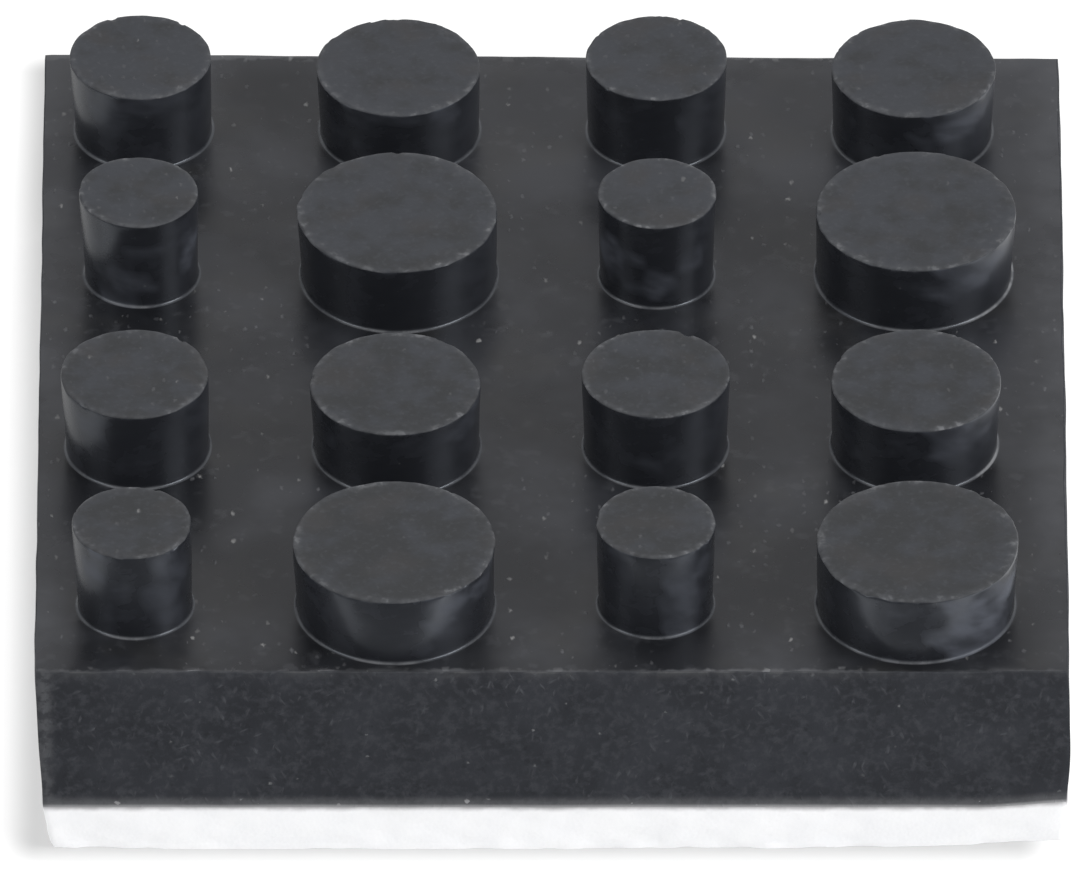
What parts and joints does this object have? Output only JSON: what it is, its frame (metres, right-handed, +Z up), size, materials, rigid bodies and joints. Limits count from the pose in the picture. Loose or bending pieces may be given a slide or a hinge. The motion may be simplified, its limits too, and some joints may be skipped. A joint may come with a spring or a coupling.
{
  "type": "rubber foot",
  "caption": "Square black rubber foot with rows of round studs on top and a white foam backing underneath.",
  "frame": {"origin": "middle of the foam's underside", "axes": "+Z up through the studs, +X to the right along a row of studs, +Y to the back across the rows"},
  "size_m": [0.05, 0.05, 0.0162],
  "materials": {
    "rubber": "black moulded rubber: smooth and faintly glossy on the slab and on the studs' walls, dull on the studs' tops and granular on the cut sides, with pale dust",
    "foam": "white closed-cell foam, matt, with small dents along its cut edge"
  },
  "bodies": {
    "root": {"rubber_pad": "rubber", "foam_backing": "foam"}
  },
  "joints": []
}
